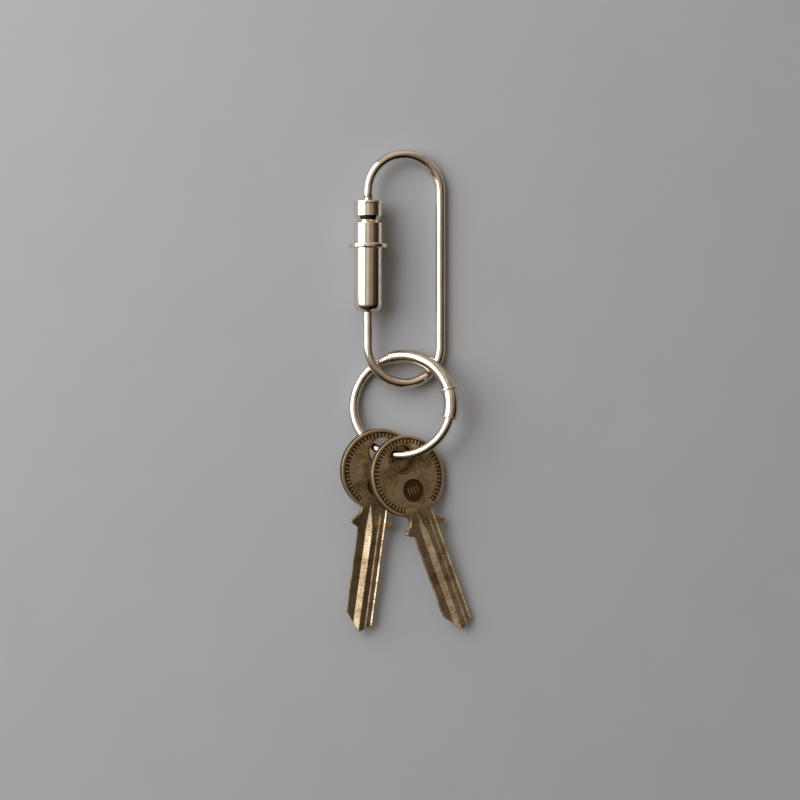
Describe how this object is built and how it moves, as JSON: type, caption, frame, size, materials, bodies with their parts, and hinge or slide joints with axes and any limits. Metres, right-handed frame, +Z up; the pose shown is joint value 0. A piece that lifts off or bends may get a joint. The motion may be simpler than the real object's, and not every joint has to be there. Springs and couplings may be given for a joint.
{
  "type": "carabiner keyring",
  "caption": "Wire carabiner with a sprung sliding barrel gate, carrying a wire ring with a sprung curved sleeve gate and uncut keys, laid flat.",
  "frame": {"origin": "on the surface that the keyring lies on, under the middle of its box", "axes": "+Z up, +Y along the chain from the key tips to the carabiner's crown, +X across it, away from the sliding barrel"},
  "size_m": [0.0396, 0.1454, 0.0135],
  "materials": {
    "nickel_wire": "polished nickel plate on drawn steel wire",
    "nickel_turned": "polished nickel plate on turned brass",
    "nickel_tube": "polished nickel plate on bent tube",
    "plain_brass": "turned, unplated, hidden in the barrel",
    "plain_steel": "bright steel",
    "spring_steel": "spring steel wire",
    "key_brass": "aged brass with worn bright edges"
  },
  "bodies": {
    "carabiner": {"carabiner_frame": "nickel_wire", "end_cap": "nickel_turned", "stop_collar": "plain_brass", "collar_pin": "plain_steel", "gate_spring": "spring_steel"},
    "spring_seat": {"spring_washer": "plain_steel"},
    "gate": {"gate_sleeve": "nickel_turned", "gate_bush": "nickel_turned", "thumb_flange": "nickel_turned"},
    "ring": {"ring_wire": "nickel_wire", "ring_housing": "nickel_tube", "ring_spring": "spring_steel"},
    "ring_gate": {"ring_sleeve": "nickel_tube", "ring_flange": "nickel_turned", "ring_plunger": "plain_steel"},
    "back_key": {"back_key": "key_brass"},
    "front_key": {"front_key": "key_brass"}
  },
  "joints": [
    {"name": "gate_slide", "type": "slide", "parent": "carabiner", "child": "spring_seat", "axis": [0, -1, 0], "range_m": [0, 0.008], "stiffness_N_per_m": 500, "springref_m": -0.006, "deforming": ["gate_spring"]},
    {"name": "gate_spin", "type": "hinge", "parent": "spring_seat", "child": "gate", "pos_m": [-0.01131, 0.0366, 0.00596], "axis": [0, 1, 0], "continuous": true},
    {"name": "ring_swing", "type": "hinge", "parent": "carabiner", "child": "ring", "pos_m": [-0.00043, 0, 0.00375], "axis": [0, -1, 0], "range_deg": [0, 90]},
    {"name": "ring_gate_slide", "type": "hinge", "parent": "ring", "child": "ring_gate", "pos_m": [-0.00108, -0.00465, 0.00542], "axis": [-0.2284, 0.122, 0.9659], "range_deg": [0, 20], "stiffness_Nm_per_rad": 0.05, "springref_deg": -20.05, "deforming": ["ring_spring"]},
    {"name": "back_key_turn", "type": "hinge", "parent": "ring", "child": "back_key", "pos_m": [-0.00725, -0.0182, 0.00575], "axis": [0.3612, -0.0881, 0.9283], "range_deg": [-60, 10]},
    {"name": "front_key_turn", "type": "hinge", "parent": "ring", "child": "front_key", "pos_m": [-0.00156, -0.0205, 0.0072], "axis": [0.4662, 0.09, 0.8801], "range_deg": [-35, 60]}
  ]
}
